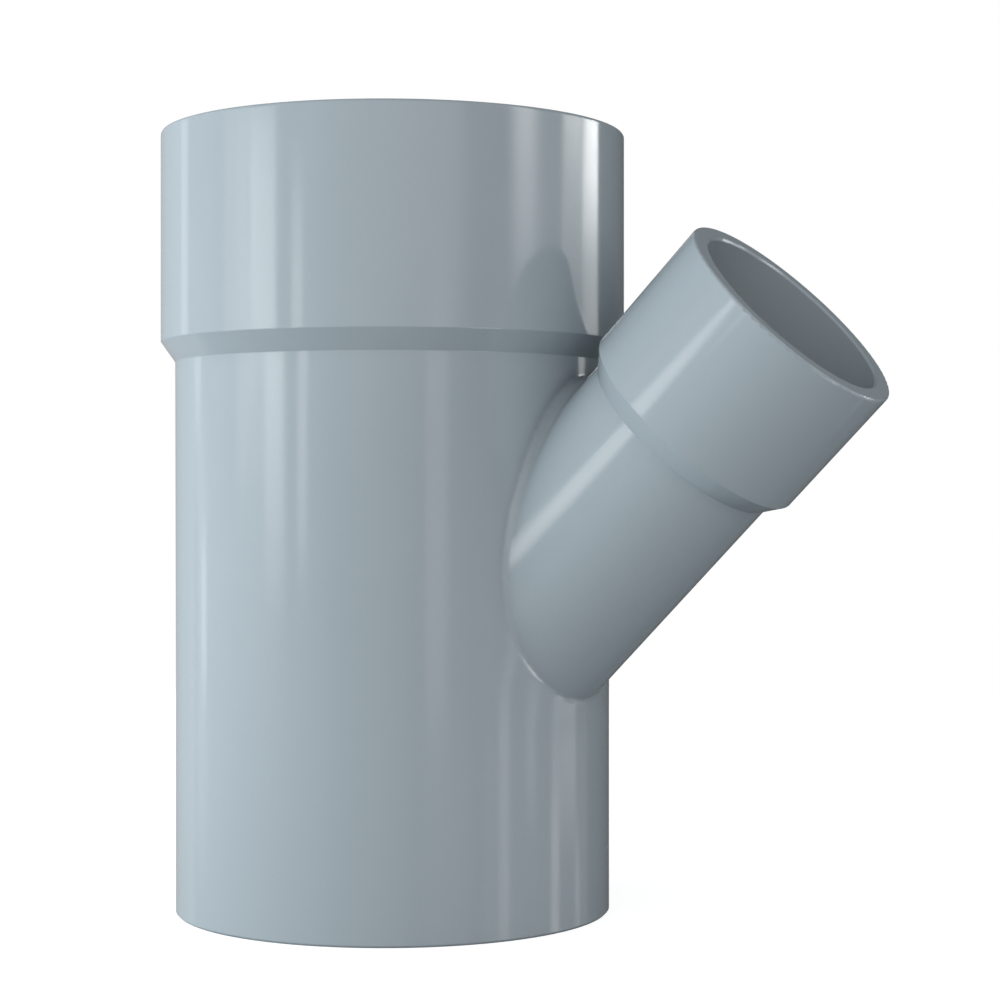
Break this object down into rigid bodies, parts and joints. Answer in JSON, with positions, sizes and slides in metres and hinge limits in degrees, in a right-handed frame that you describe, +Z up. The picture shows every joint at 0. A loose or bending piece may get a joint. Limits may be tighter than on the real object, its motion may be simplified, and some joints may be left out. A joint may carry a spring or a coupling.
{
  "type": "lateral wye fitting",
  "caption": "Reducing 45 degree wye for solvent-cement drain pipe: plain spigot below, socket hub on top, and a smaller slanted branch with its own socket.",
  "frame": {"origin": "centre of the run's spigot end, on the plane that the fitting stands on", "axes": "+Z up the run, from the spigot to the main socket; +X is the side that the branch leans to; the part is symmetric about the XZ plane"},
  "size_m": [0.1896, 0.1176, 0.1964],
  "materials": {
    "grey_pvc": "glossy moulded blue-grey plastic"
  },
  "bodies": {
    "root": {"lateral_wye": "grey_pvc"}
  },
  "joints": []
}
